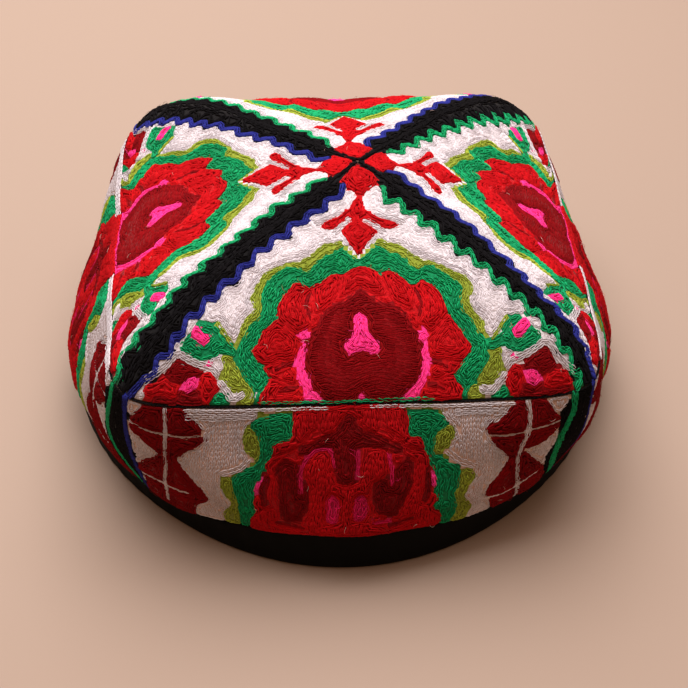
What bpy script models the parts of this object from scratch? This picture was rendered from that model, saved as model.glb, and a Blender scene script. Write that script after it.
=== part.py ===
"""A four-sided embroidered prayer cap: crown gores, band panels, a fold cord and a rim binding.

The cap stands on its rim at z = 0, centred on the origin, with its front towards -Y. Metres, +Z up.
"""
import math

import bmesh
import bpy
import numpy as np

COLLECTION = "prayer_cap"

# The rim, which rests on the table
RIM_RADIUS = 0.0909          # outside of the binding at its foot, the mean of sides and corners
RIM_SQUARENESS = 0.014       # share by which the rim stands out at the sides and in at the corners
BINDING_HEIGHT = 0.017       # mean height of the binding outside
BINDING_WAVE = 0.004         # added at the middle of each side and taken away at each corner
BINDING_FLARE = 0.0022       # how far the top of the binding stands outside its foot

# The band, between the binding and the square fold
BELLY_SIDE = 0.0024          # outward swell of the band halfway up a side
BELLY_CORNER = 0.0030        # the same at a corner

# The square fold
FOLD_SIDE = 0.0756           # from the middle of the square to the middle of a side
FOLD_CORNER = 0.0990         # from the middle of the square to a corner
FOLD_HEIGHT_SIDE = 0.0619
FOLD_HEIGHT_CORNER = 0.0623
FOLD_SHIFT = (0.0017, -0.0031)   # the square sits a little to the right of the rim's middle, and forward
FOLD_SKEW = -0.009           # sideways lean of the square for each metre towards the back
FOLD_TILT = -0.021           # fall of the crown for each metre to the right

# The crown, a pillow from the fold up to the apex
APEX_HEIGHT = 0.0923
APEX_SHIFT = (0.0046, 0.0028)    # from the middle of the square
SIDE_CONE = 0.01             # straight share of the fall from apex to fold, down the middle of a gore
SIDE_POWER = 3.45            # how late the rest of that fall comes
SIDE_DIP = 0.0039            # slack of the cloth halfway down the gore
CORNER_CONE = 0.32           # the same three down a seam between two gores, which is taut
CORNER_POWER = 6.0
CORNER_REACH = 4.0           # how narrow the ridge along a seam is

# Cloth, cord and gaps
CLOTH = 0.0023               # quilted wall of the crown and the band
HEM = 0.0010                 # wall of the band's lower edge, pressed thin inside the binding
LEAF = 0.0010                # one leaf of the binding
INNER_LEAF_HEIGHT = 0.0100
BINDING_EDGE = 0.0006        # chamfer round the foot of the binding
CORD_RADIUS = 0.0006
CORD_DEPTH = 0.00045         # how deep the middle of the cord lies under the fold
GAP = 0.0003                 # between neighbouring pieces
SEAM_GAP = 0.00038           # between two gores or two panels, outside, where the corner's bend narrows it

# Mesh
QUARTERS = ("right", "back", "left", "front")    # anticlockwise from +X
COLUMNS = 20                 # across a gore or a panel
COLUMN_CROWDING = 0.55       # share of the columns' spacing that crowds them towards the corners
CROWN_ROWS = 12
BAND_ROWS = 5
FIRST_ROW = 0.05             # level of the first full row under a gore's tip
TIP_ROW = 0.006              # level of the tip itself
STEP = 1e-4                  # for slopes of the surface

# name, colour (linear), roughness
CLOTHS = {
    "crown_embroidery": ((0.52, 0.07, 0.07, 1.0), 0.85),
    "band_embroidery": ((0.40, 0.05, 0.05, 1.0), 0.85),
    "fold_cord_black": ((0.012, 0.012, 0.014, 1.0), 0.7),
    "binding_black": ((0.008, 0.008, 0.010, 1.0), 0.8),
}


def cap_point(theta, level):
    """Outer surface at angle theta and level, with x, y, z along the last axis.

    Level 0 is the apex, 1 the square fold, 2 the top of the binding and 3 the rim. In plan each level is a
    superellipse through its side and corner distances; its height runs from a side profile to a corner one.
    """
    rho = np.clip(level, 1e-6, 1)
    band = np.clip(level - 1, 0, 1)
    foot = np.clip(level - 2, 0, 1)
    lean = 1 - band

    top = RIM_RADIUS + BINDING_FLARE
    side = FOLD_SIDE * rho * lean + top * band + 4 * BELLY_SIDE * band * lean - BINDING_FLARE * foot
    corner = FOLD_CORNER * rho * lean + top * band + 4 * BELLY_CORNER * band * lean - BINDING_FLARE * foot
    power = math.log(2) / np.log(math.sqrt(2) * side / corner)
    plan = (np.abs(np.cos(theta)) ** power + np.abs(np.sin(theta)) ** power) ** (1 / power)
    radius = side / plan * (1 + RIM_SQUARENESS * np.cos(4 * theta) * band)

    side_fall = SIDE_CONE * rho + (1 - SIDE_CONE) * rho ** SIDE_POWER
    corner_fall = CORNER_CONE * rho + (1 - CORNER_CONE) * rho ** CORNER_POWER
    side_height = APEX_HEIGHT - (APEX_HEIGHT - FOLD_HEIGHT_SIDE) * side_fall - SIDE_DIP * np.sin(math.pi * rho)
    corner_height = APEX_HEIGHT - (APEX_HEIGHT - FOLD_HEIGHT_CORNER) * corner_fall
    cornering = np.sin(2 * theta) ** (2 * CORNER_REACH)
    height = (side_height + (corner_height - side_height) * cornering) * lean
    height = height + (BINDING_HEIGHT + BINDING_WAVE * np.cos(4 * theta)) * (band - foot)

    x = radius * np.cos(theta)
    y = radius * np.sin(theta)
    height = height + FOLD_TILT * x * lean
    shift_x = (FOLD_SHIFT[0] + FOLD_SKEW * y) * lean + APEX_SHIFT[0] * (1 - rho)
    shift_y = FOLD_SHIFT[1] * lean + APEX_SHIFT[1] * (1 - rho)
    return np.stack([x + shift_x, y + shift_y, height], axis=-1)


def slope_down(theta, level, lowest, highest):
    """Change of the surface's point for each unit of level, taken between two creases."""
    level = np.clip(level, lowest + STEP, highest - STEP)
    return (cap_point(theta, level + STEP) - cap_point(theta, level - STEP)) / (2 * STEP)


def slope_round(theta, level):
    """Change of the surface's point for each radian round the cap."""
    return (cap_point(theta + STEP, level) - cap_point(theta - STEP, level)) / (2 * STEP)


def unit(vectors):
    return vectors / np.linalg.norm(vectors, axis=-1, keepdims=True)


def outward(theta, level, lowest, highest):
    """Unit normal of the crown or the band, which run from crease lowest to crease highest."""
    level = np.maximum(level, FIRST_ROW)
    return unit(np.cross(slope_down(theta, level, lowest, highest), slope_round(theta, level)))


def outward_level(theta, level):
    """Unit horizontal normal of a level's outline."""
    along = slope_round(theta, level)
    return unit(np.stack([along[..., 1], -along[..., 0], np.zeros(along.shape[:-1])], axis=-1))


def fold_mitre(theta):
    """Inward offset of the fold's inner edge for one unit of wall: the mitre of crown and band."""
    crown = outward(theta, np.ones_like(theta), 0, 1)
    band = outward(theta, np.ones_like(theta), 1, 2)
    both = unit(crown + band)
    return both / np.sum(both * crown, axis=-1, keepdims=True)


def fold_level(theta, side):
    """Level of a wall's edge beside the cord: side -1 is the crown's, +1 the band's."""
    lowest, highest = (0, 1) if side < 0 else (1, 2)
    pace = np.linalg.norm(slope_down(theta, np.ones_like(theta), lowest, highest), axis=-1)
    return 1 + side * (CORD_RADIUS + GAP) / pace


def column_angles():
    """Angles across a quarter from its middle, crowded towards the two corners, where the cap bends most."""
    place = np.linspace(-1, 1, COLUMNS + 1)
    crowded = COLUMN_CROWDING * np.sin(place * math.pi / 2) + (1 - COLUMN_CROWDING) * place
    return crowded * math.pi / 4


def quarter_grid(middle, levels):
    """Angles and levels of a quarter's grid, its two sides half a seam gap short of the corner seams."""
    radius = np.linalg.norm(cap_point(middle + math.pi / 4, levels)[..., :2]
                            - cap_point(middle, np.zeros_like(levels))[..., :2], axis=-1)
    reach = math.pi / 4 - SEAM_GAP / 2 / radius
    theta = middle + column_angles()[None, :] * (reach / (math.pi / 4))[:, None]
    return theta, np.repeat(levels[:, None], theta.shape[1], axis=1)


def new_material(name):
    """Principled cloth of the named colour and roughness."""
    colour, roughness = CLOTHS[name]
    material = bpy.data.materials.new(name)
    material.use_nodes = True
    shader = material.node_tree.nodes["Principled BSDF"]
    shader.inputs["Base Color"].default_value = colour
    shader.inputs["Roughness"].default_value = roughness
    material.diffuse_color = colour
    return material


def add_mesh_object(name, points, faces, material, collection):
    """Closed mesh from points and faces, with coincident points merged and shaded smooth."""
    mesh = bpy.data.meshes.new(name)
    mesh.from_pydata(points.reshape(-1, 3).tolist(), [], faces)
    shape = bmesh.new()
    shape.from_mesh(mesh)
    bmesh.ops.remove_doubles(shape, verts=shape.verts, dist=1e-6)
    bmesh.ops.recalc_face_normals(shape, faces=shape.faces)
    shape.to_mesh(mesh)
    shape.free()
    mesh.materials.append(material)
    mesh.shade_smooth()
    mesh.set_sharp_from_angle(angle=math.radians(50))
    thing = bpy.data.objects.new(name, mesh)
    collection.objects.link(thing)
    return thing


def wall_faces(rows, columns):
    """Faces of a closed wall whose outer sheet and inner sheet are grids of rows by columns points."""
    sheet = rows * columns
    faces = []
    for row in range(rows - 1):
        for column in range(columns - 1):
            corner = row * columns + column
            loop = (corner, corner + columns, corner + columns + 1, corner + 1)
            faces.append(loop)
            faces.append(tuple(sheet + i for i in reversed(loop)))
    rim = [column for column in range(columns)]
    rim += [row * columns + columns - 1 for row in range(1, rows)]
    rim += [(rows - 1) * columns + column for column in range(columns - 2, -1, -1)]
    rim += [row * columns for row in range(rows - 2, 0, -1)]
    for here, there in zip(rim, rim[1:] + rim[:1]):
        faces.append((here, there, sheet + there, sheet + here))
    return faces


def add_crown_gore(name, middle, material, collection):
    """One gore: a loft from a point at the apex to the fold, outer sheet to inner sheet."""
    fall = np.linspace(0, 1, CROWN_ROWS)
    levels = FIRST_ROW + (1 - FIRST_ROW) * np.sin(fall * math.pi / 2)
    theta, level = quarter_grid(middle, levels)
    level[-1] = fold_level(theta[-1], -1)
    inset = outward(theta, level, 0, 1)
    inset[-1] = fold_mitre(theta[-1])
    tip_theta = np.full((1, theta.shape[1]), middle)
    tip_level = np.full_like(tip_theta, TIP_ROW)
    theta, level = np.vstack([tip_theta, theta]), np.vstack([tip_level, level])
    inset = np.concatenate([outward(tip_theta, tip_level, 0, 1), inset])
    outer = cap_point(theta, level)
    inner = outer - CLOTH * inset
    return add_mesh_object(name, np.stack([outer, inner]), wall_faces(*theta.shape), material, collection)


def add_band_panel(name, middle, material, collection):
    """One panel: a loft from the fold to the binding's top, then a thin hem down inside the binding."""
    theta, level = quarter_grid(middle, np.linspace(1, 2, BAND_ROWS + 1))
    level[0] = fold_level(theta[0], 1)
    outer = cap_point(theta, level)
    inset = outward(theta, level, 1, 2)
    inset[0] = fold_mitre(theta[0])
    inset[-1] = outward_level(theta[-1], level[-1])
    outer[-1, :, 2] += GAP
    inner = outer - CLOTH * inset

    hem_theta = np.repeat(theta[-1:], 2, axis=0)
    hem_level = np.full_like(hem_theta, 2.0)
    hem_level[1] = 3.0
    hem_outer = cap_point(hem_theta, hem_level) - (CLOTH - HEM) * outward_level(hem_theta, hem_level)
    hem_inner = hem_outer - HEM * outward_level(hem_theta, hem_level)
    for sheet in (hem_outer, hem_inner):
        sheet[0, :, 2] = outer[-1, :, 2]
        sheet[1] += (sheet[0] - sheet[1]) * ((LEAF + GAP) / sheet[0, :, 2])[:, None]
    hem_inner[0] = inner[-1]
    hem_inner[0, :, 2] -= GAP
    outer = np.concatenate([outer, hem_outer])
    inner = np.concatenate([inner, hem_inner])
    return add_mesh_object(name, np.stack([outer, inner]), wall_faces(*outer.shape[:2]), material, collection)


def add_rim_binding(name, material, collection):
    """The folded strip: a section with an outer leaf, a flat foot and an inner leaf, carried round the rim."""
    quarter = column_angles()[:-1]
    theta = np.concatenate([quarter + middle for middle in quarter_middles()])
    top = cap_point(theta, np.full_like(theta, 2.0))
    foot = cap_point(theta, np.full_like(theta, 3.0))
    in_top = outward_level(theta, np.full_like(theta, 2.0))
    in_foot = outward_level(theta, np.full_like(theta, 3.0))
    slot_start = CLOTH - HEM - GAP
    slot_end = CLOTH + GAP
    full = top[:, 2]
    inside = np.full_like(full, INNER_LEAF_HEIGHT)
    floor = np.full_like(full, LEAF)

    def ring(depth, height):
        """Points at a depth in from the outer face and at a height above the table."""
        share = (height / full)[:, None]
        points = (foot - depth * in_foot) * (1 - share) + (top - depth * in_top) * share
        points[:, 2] = height
        return points

    section = [
        ring(0.0, full), ring(0.0, 0.66 * full), ring(0.0, 0.33 * full), ring(0.0, 0 * full + 2 * BINDING_EDGE),
        ring(BINDING_EDGE, 0 * full), ring(slot_end + LEAF - BINDING_EDGE, 0 * full),
        ring(slot_end + LEAF, 0 * full + 2 * BINDING_EDGE), ring(slot_end + LEAF, inside), ring(slot_end, inside),
        ring(slot_end, floor), ring(slot_start, floor), ring(slot_start, full),
    ]
    points = np.stack(section, axis=1)
    around, along = points.shape[:2]
    faces = []
    for i in range(around):
        for j in range(along):
            a, b = i * along, (i + 1) % around * along
            faces.append((a + j, b + j, b + (j + 1) % along, a + (j + 1) % along))
    return add_mesh_object(name, points, faces, material, collection)


def add_fold_cord(name, material, collection):
    """The cord: one closed round tube laid in the slot between crown and band."""
    quarter = column_angles()[:-1]
    theta = np.concatenate([quarter + middle for middle in quarter_middles()])
    path = cap_point(theta, np.ones_like(theta)) - CORD_DEPTH * fold_mitre(theta)
    curve = bpy.data.curves.new(name, "CURVE")
    curve.dimensions = "3D"
    curve.bevel_depth = CORD_RADIUS
    curve.bevel_resolution = 2
    curve.use_fill_caps = True
    spline = curve.splines.new("POLY")
    spline.points.add(len(path) - 1)
    for point, place in zip(spline.points, path):
        point.co = (*place, 1.0)
    spline.use_cyclic_u = True
    curve.materials.append(material)
    thing = bpy.data.objects.new(name, curve)
    collection.objects.link(thing)
    return thing


def quarter_middles():
    """Angle of the middle of each quarter, in the order of QUARTERS."""
    return [index * math.pi / 2 for index in range(len(QUARTERS))]


def build():
    for thing in list(bpy.data.objects):
        bpy.data.objects.remove(thing, do_unlink=True)
    collection = bpy.data.collections.new(COLLECTION)
    bpy.context.scene.collection.children.link(collection)
    cloths = {name: new_material(name) for name in CLOTHS}
    for side, middle in zip(QUARTERS, quarter_middles()):
        add_crown_gore(f"crown_gore_{side}", middle, cloths["crown_embroidery"], collection)
        add_band_panel(f"band_panel_{side}", middle, cloths["band_embroidery"], collection)
    add_fold_cord("fold_cord", cloths["fold_cord_black"], collection)
    add_rim_binding("rim_binding", cloths["binding_black"], collection)


build()
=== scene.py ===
import math

import bpy
import numpy as np
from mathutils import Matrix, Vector


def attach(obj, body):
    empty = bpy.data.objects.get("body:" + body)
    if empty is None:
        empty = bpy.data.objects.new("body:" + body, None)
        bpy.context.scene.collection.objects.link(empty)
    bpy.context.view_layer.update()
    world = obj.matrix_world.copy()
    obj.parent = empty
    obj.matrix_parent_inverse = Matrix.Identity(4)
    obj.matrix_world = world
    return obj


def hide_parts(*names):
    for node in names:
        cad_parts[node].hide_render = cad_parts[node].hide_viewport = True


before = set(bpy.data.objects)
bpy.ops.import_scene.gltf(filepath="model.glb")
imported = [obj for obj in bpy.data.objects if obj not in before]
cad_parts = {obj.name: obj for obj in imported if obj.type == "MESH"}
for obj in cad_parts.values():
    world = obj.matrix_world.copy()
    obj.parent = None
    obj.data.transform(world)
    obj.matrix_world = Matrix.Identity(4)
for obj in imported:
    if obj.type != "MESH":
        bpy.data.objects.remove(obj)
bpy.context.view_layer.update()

# Crown and band cloth
# The cap is sewn from quilted cotton: four three-cornered gores that meet at the apex, and four panels
# that hang from the square fold to a nearly round foot. The soft crown leans a little, its seams stand up as
# ridges and its sides sag. Sizes are millimetres; the frame's solids have the same form.
RIM_RADIUS = 90.9
RIM_SQUARENESS = 0.014       # share of the radius by which the foot reaches further at the sides
BINDING_HEIGHT = 17.0
BINDING_WAVE = 4.0           # how much the binding's top rises at the sides and falls at the corners
BINDING_FLARE = 2.2          # how far the binding's top stands out past the rim
BELLY_SIDE = 2.4             # how far the band swells out between fold and binding
BELLY_CORNER = 3.0
FOLD_SIDE = 75.6             # from the middle of the square fold to a side, and to a corner
FOLD_CORNER = 99.0
FOLD_HEIGHT_SIDE = 61.9
FOLD_HEIGHT_CORNER = 62.3
FOLD_SHIFT = (1.7, -3.1)     # where the fold's middle lies
FOLD_SKEW = -0.009
FOLD_TILT = -0.021           # rise of the crown for each mm to the right
APEX_HEIGHT = 92.3
APEX_SHIFT = (4.6, 2.8)      # where the apex lies from the fold's middle
SIDE_CONE = 0.01             # share of the fall that is straight; the rest goes by the power
SIDE_POWER = 3.45
SIDE_DIP = 3.9               # how far a gore's middle sags
CORNER_CONE = 0.32
CORNER_POWER = 6.0
CORNER_REACH = 4.0           # how narrow the ridge along a seam is
BAND_TOP_RADIUS = RIM_RADIUS + BINDING_FLARE


def cap_surface(theta, level):
    """Outer surface as x, y, z along the last axis, for whole arrays of angle and level.

    Level 0 is the apex, 1 the fold, 2 the binding's top, 3 the rim. Each level is a superellipse in plan,
    through its distance at a side and at a corner; its height is a side profile blended into a corner one.
    """
    rho = np.clip(level, 1e-6, 1)
    band = np.clip(level - 1, 0, 1)
    foot = np.clip(level - 2, 0, 1)
    lean = 1 - band
    side = (FOLD_SIDE * rho * lean + BAND_TOP_RADIUS * band + 4 * BELLY_SIDE * band * lean
            - BINDING_FLARE * foot)
    corner = (FOLD_CORNER * rho * lean + BAND_TOP_RADIUS * band + 4 * BELLY_CORNER * band * lean
              - BINDING_FLARE * foot)
    power = math.log(2) / np.log(math.sqrt(2) * side / corner)
    plan = (np.abs(np.cos(theta)) ** power + np.abs(np.sin(theta)) ** power) ** (1 / power)
    radius = side / plan * (1 + RIM_SQUARENESS * np.cos(4 * theta) * band)
    side_fall = (APEX_HEIGHT - FOLD_HEIGHT_SIDE) * (SIDE_CONE * rho + (1 - SIDE_CONE) * rho ** SIDE_POWER)
    side_height = APEX_HEIGHT - side_fall - SIDE_DIP * np.sin(math.pi * rho)
    corner_fall = CORNER_CONE * rho + (1 - CORNER_CONE) * rho ** CORNER_POWER
    corner_height = APEX_HEIGHT - (APEX_HEIGHT - FOLD_HEIGHT_CORNER) * corner_fall
    cornering = np.sin(2 * theta) ** (2 * CORNER_REACH)
    height = (side_height + (corner_height - side_height) * cornering) * lean
    height = height + (BINDING_HEIGHT + BINDING_WAVE * np.cos(4 * theta)) * (band - foot)
    x = radius * np.cos(theta)
    y = radius * np.sin(theta)
    height = height + FOLD_TILT * x * lean
    shift_x = (FOLD_SHIFT[0] + FOLD_SKEW * y) * lean + APEX_SHIFT[0] * (1 - rho)
    shift_y = FOLD_SHIFT[1] * lean + APEX_SHIFT[1] * (1 - rho)
    return np.stack([x + shift_x, y + shift_y, height], axis=-1)


# A chart lays one quarter of the cap flat: across runs to the right as seen from outside, and down runs from
# the apex over the fold to the binding, by the cloth's own length down the middle of a side.
LEVELS = np.linspace(0, 2, 601)
MIDDLES = cap_surface(np.arange(4)[:, None] * math.pi / 2, LEVELS[None, :])
PACES = np.linalg.norm(np.diff(MIDDLES, axis=1), axis=-1).mean(axis=0)
DOWN = np.concatenate([[0], np.cumsum(PACES)])
FOLD_DOWN = float(np.interp(1, LEVELS, DOWN))
FOOT_DOWN = float(DOWN[-1])


def level_at(down):
    """Level of a distance down the chart; past the binding's top it runs on at the band's own pace."""
    past = np.maximum(down - FOOT_DOWN, 0) / (FOOT_DOWN - FOLD_DOWN)
    return np.interp(down, DOWN, LEVELS) + past


def turn_at(across, level):
    """Angle from the quarter's middle: a tangent on the crown's straight sides, an arc at the round foot.

    Newton's steps solve across = (1 - b) * side * tan(turn) + b * radius * turn, b being the share down the
    band.
    """
    band = np.clip(level - 1, 0, 1)
    side = FOLD_SIDE * np.clip(level, 1e-3, 1)
    turn = np.arctan(across / side)
    for _ in range(6):
        error = (1 - band) * side * np.tan(turn) + band * BAND_TOP_RADIUS * turn - across
        turn = turn - error / ((1 - band) * side / np.cos(turn) ** 2 + band * BAND_TOP_RADIUS)
        turn = np.clip(turn, -1.2, 1.2)
    return turn


def across_at(turn, level):
    """The way back: the chart's across for an angle from the quarter's middle."""
    band = np.clip(level - 1, 0, 1)
    side = FOLD_SIDE * np.clip(level, 0, 1)
    return (1 - band) * side * np.tan(turn) + band * BAND_TOP_RADIUS * turn


TUCK = 2                     # the chart runs on this far under the binding
SEAM_DOWN = np.arange(0, FOOT_DOWN + TUCK, 0.5)
SEAM_ACROSS = across_at(math.pi / 4, level_at(SEAM_DOWN))
SEAM_SLOPE = np.gradient(SEAM_ACROSS, SEAM_DOWN)


def seam_inset(across, down):
    """Distance from the nearer seam, measured square to it."""
    gap = np.interp(down, SEAM_DOWN, SEAM_ACROSS) - np.abs(across)
    return gap / np.hypot(1, np.interp(down, SEAM_DOWN, SEAM_SLOPE))


def soft_waves(seed, count, shortest, longest, *places):
    """Sum of sine waves of random ways and lengths in mm, about 1 in size; a seed gives the same waves."""
    random = np.random.default_rng(seed)
    ways = random.normal(size=(count, len(places)))
    ways = ways / np.linalg.norm(ways, axis=1, keepdims=True)
    ways = ways * 2 * math.pi / random.uniform(shortest, longest, (count, 1))
    phases = random.uniform(0, 2 * math.pi, count)
    waves = sum(np.sin(sum(share * place for share, place in zip(way, places)) + phase)
                for way, phase in zip(ways, phases))
    return waves * math.sqrt(2 / count)


SLACK = 0.35                 # how far the soft cloth wanders off the true form
DRIFT = 0.32                 # how far the hand-drawn figures differ from one quarter to the next
DRIFT_FADE = 6               # drift dies out over this distance from a seam, the fold and the foot
# How each quarter's crown figures were drawn off the middle: across, more for each mm to the right, and down
OFF_MIDDLE = ((-6.0, -0.08, -0.5), (0.0, 0.0, 0.0), (2.2, -0.115, -1.5), (0.8, 0.0, 0.0))
OFF_FROM = 28                # down the chart, where the figures start to be off the middle
OFF_FULL = 30                # the distance over which they come to be
OFF_SEAM_FADE = 3            # and over which this dies out towards a seam and the fold
OFF_FOLD_FADE = 5
OFF_DOWN_FADE = 16


def on_cloth(quarter, across, down, lift):
    """Point at a place of a quarter's chart, lifted outwards by so many mm, and the outward direction there.

    The direction is the cross product of the surface's slopes down and across the chart. Slack is a sum of
    long waves in space, so that neighbouring pieces share it; drift is one along the cloth, nought at its
    seams. The crown's figures sit a little off the middle, less so towards the seams and the fold.
    """
    inset = seam_inset(across, down)
    free = np.minimum(inset, np.minimum(np.abs(down - FOLD_DOWN), np.abs(FOOT_DOWN - down)))
    free = DRIFT * np.clip(free / DRIFT_FADE, 0, 1)
    room = np.clip(inset / OFF_SEAM_FADE, 0, 1) * np.clip((FOLD_DOWN - down) / OFF_FOLD_FADE, 0, 1)
    off_across, wider, off_down = OFF_MIDDLE[quarter]
    off_across = off_across * np.clip((down - OFF_FROM) / OFF_FULL, 0, 1)
    across = across + (off_across + wider * across) * room
    down = down + off_down * room * np.clip((FOLD_DOWN - down) / OFF_DOWN_FADE, 0, 1)
    across, down = (across + free * soft_waves(quarter + 10, 6, 14, 40, across, down),
                    down + free * soft_waves(quarter + 20, 6, 14, 40, across, down))

    def place(across, down):
        """The chart's place on the true form."""
        level = level_at(down)
        return cap_surface(quarter * math.pi / 2 + turn_at(across, level), level)

    step = 0.5
    down = np.maximum(down, 0.6)
    point = place(across, down)
    slope_down = place(across, down + step) - place(across, down - step)
    slope_across = place(across + step, down) - place(across - step, down)
    normal = np.cross(slope_down, slope_across)
    normal = normal / np.maximum(np.linalg.norm(normal, axis=-1, keepdims=True), 1e-9)
    slack = SLACK * soft_waves(1, 8, 18, 50, point[..., 0], point[..., 1], point[..., 2])
    return point + normal * (lift + slack)[..., None], normal


# The embroidery's chart
# Every quarter bears the same figures: a three-pointed flower under the apex, a great half rosette that runs
# over the fold, a leaf and a small rosette towards each corner, and black corner strips with a zigzag edge.
# They are drawn here in chart millimetres, first to last as they lie on each other; one half is mirrored.
GRID = 0.5
across_line = np.arange(-78, 78 + GRID / 2, GRID)
down_line = np.arange(0, FOOT_DOWN + TUCK, GRID)
ACROSS, DEPTH = np.meshgrid(across_line, down_line)
ON_CROWN = DEPTH < FOLD_DOWN


def along_path(points, closed=False):
    """Corners of a path as starts and steps between them."""
    corners = np.array(points, float)
    ends = np.roll(corners, -1, axis=0) if closed else corners[1:]
    starts = corners if closed else corners[:-1]
    return starts, ends - starts


def distance_to(points, across, down, closed=False):
    """Shortest distance from each place to a path, the least over its straight pieces."""
    least = np.full(across.shape, np.inf)
    for start, step in zip(*along_path(points, closed)):
        share = ((across - start[0]) * step[0] + (down - start[1]) * step[1]) / (step @ step)
        share = np.clip(share, 0, 1)
        gap = np.hypot(across - start[0] - share * step[0], down - start[1] - share * step[1])
        least = np.minimum(least, gap)
    return least


def inside_of(points, across, down):
    """Depth of each place inside an outline: its distance to the edge, negative outside (even-odd rule)."""
    inside = np.zeros(across.shape, bool)
    for start, step in zip(*along_path(points, closed=True)):
        if step[1] != 0:
            spans = (start[1] > down) != (start[1] + step[1] > down)
            inside ^= spans & (across < start[0] + (down - start[1]) * step[0] / step[1])
    return np.where(inside, 1, -1) * distance_to(points, across, down, closed=True)


def mirrored(half):
    """Whole outline of a figure charted from its middle line outwards."""
    return half + [(-across, down) for across, down in reversed(half) if across != 0]


# The corner strips follow the seams.
SEAM_PACES = np.hypot(np.diff(SEAM_ACROSS), np.diff(SEAM_DOWN))
SEAM_LENGTH = np.concatenate([[0], np.cumsum(SEAM_PACES)])


def beside_seam(length, inset):
    """Chart points at a length down the right-hand seam and an inset from it towards the middle."""
    across = np.interp(length, SEAM_LENGTH, SEAM_ACROSS)
    down = np.interp(length, SEAM_LENGTH, SEAM_DOWN)
    slope = np.interp(length, SEAM_LENGTH, SEAM_SLOPE)
    across, down = across - inset / np.hypot(1, slope), down + inset * slope / np.hypot(1, slope)
    return [(float(a), float(d)) for a, d in zip(across, down)]


ZIGZAG_PERIOD = 7.8
ZIGZAG_CUT = 0.13            # share of each side that its rounded corners take
ZIGZAG_STOP = 2.5            # its last turn lies at least this far above the fold
STRIP_START = 8.5            # along the seam from the apex
STRIP_MARGIN = 0.9           # black shown past the middle of the zigzag thread
FOLD_LENGTH = float(np.interp(FOLD_DOWN, SEAM_DOWN, SEAM_LENGTH))


def rounded(points):
    """A path with its corners cut off at a share of each side."""
    path = np.array(points)
    near = path[:-1] * (1 - ZIGZAG_CUT) + path[1:] * ZIGZAG_CUT
    far = path[:-1] * ZIGZAG_CUT + path[1:] * (1 - ZIGZAG_CUT)
    cut = np.stack([near, far], axis=1).reshape(-1, 2)
    return [tuple(point) for point in np.concatenate([path[:1], cut, path[-1:]]).tolist()]


def zigzag(start, middle_inset, swing, end):
    """A zigzag beside the crown's seam: it swings so far either side of its line, and ends on the fold."""
    lengths = np.arange(start, FOLD_LENGTH, ZIGZAG_PERIOD / 2)
    swings = np.where(np.arange(len(lengths)) % 2 == 0, -swing, swing)
    turns = rounded(beside_seam(lengths, middle_inset + swings))
    return [point for point in turns if point[1] < FOLD_DOWN - ZIGZAG_STOP] + [end]


BLUE_ZIGZAG = zigzag(11.0, 5.3, 1.6, (72.5, FOLD_DOWN - 0.4))
GREEN_ZIGZAG = zigzag(14.0, 4.5, 2.0, (67.0, FOLD_DOWN - 0.4))


def strip_outline(line):
    """Outline of a black strip: the zigzag moved inwards by the margin, and round behind the seam."""
    edge = beside_seam(STRIP_START + np.array([0, 0, 2.5]), np.array([-3.0, 0.8, 2.6]))
    inner = [(a - STRIP_MARGIN, d + STRIP_MARGIN) for a, d in line]
    return edge + inner + [(90.0, FOLD_DOWN + 0.5), (90.0, 0.0), (20.0, 0.0)]


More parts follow.
